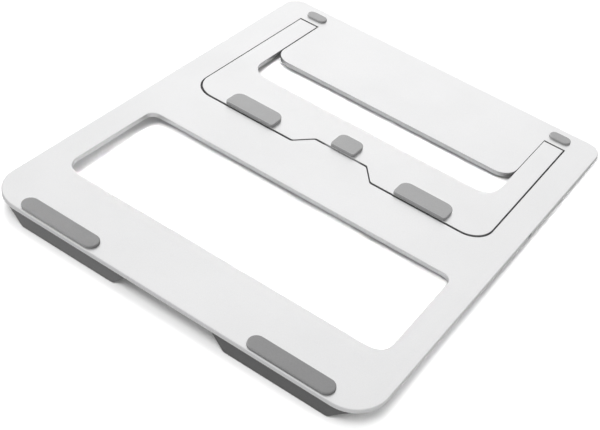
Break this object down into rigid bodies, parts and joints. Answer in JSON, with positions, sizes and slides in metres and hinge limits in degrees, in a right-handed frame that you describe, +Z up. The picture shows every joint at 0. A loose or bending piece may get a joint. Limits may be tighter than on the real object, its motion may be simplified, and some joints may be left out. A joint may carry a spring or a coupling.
{
  "type": "laptop stand",
  "caption": "Folding aluminium laptop stand: a windowed plate with padded front stops and a U-shaped rear leg on hidden pins, folded flat and lying desk side up.",
  "frame": {"origin": "on the table under the middle of the stand's box, folded flat and lying on its stops and rear pads", "axes": "+X to the right across the width, +Y from the front edge with the stops to the rear edge, +Z up, out of the desk side"},
  "size_m": [0.232, 0.2708, 0.0171],
  "materials": {
    "anodised_aluminium": "bead-blasted, silver anodised",
    "bare_aluminium": "milled",
    "dark_silicone": "matte silicone, dark grey",
    "grey_silicone": "matte silicone, mid grey",
    "light_silicone": "matte silicone, light grey",
    "steel": "ground steel",
    "coated_magnet": "bar magnet with a black epoxy coat",
    "nylon": "black nylon"
  },
  "bodies": {
    "deck": {"deck_plate": "anodised_aluminium", "stop_core_left": "bare_aluminium", "stop_core_right": "bare_aluminium", "stop_sleeve_left": "dark_silicone", "stop_sleeve_right": "dark_silicone", "stop_screws": "steel", "front_pad_left": "grey_silicone", "front_pad_right": "grey_silicone", "rear_pad_left": "light_silicone", "rear_pad_right": "light_silicone", "laptop_pad_left": "grey_silicone", "laptop_pad_right": "grey_silicone", "hinge_pin_left": "steel", "hinge_pin_right": "steel", "pin_plug_left": "anodised_aluminium", "pin_plug_right": "anodised_aluminium", "catch_magnet_left": "coated_magnet", "catch_magnet_right": "coated_magnet"},
    "leg": {"leg_frame": "anodised_aluminium", "foot_pad_left": "light_silicone", "foot_pad_right": "light_silicone", "leg_centre_pad": "light_silicone", "hinge_washer_left": "nylon", "hinge_washer_right": "nylon", "catch_keeper_left": "steel", "catch_keeper_right": "steel"}
  },
  "joints": [
    {"name": "leg_hinge", "type": "hinge", "parent": "deck", "child": "leg", "pos_m": [0, 0.11464, 0.00318], "axis": [-1, 0, 0], "range_deg": [0, 116]}
  ]
}
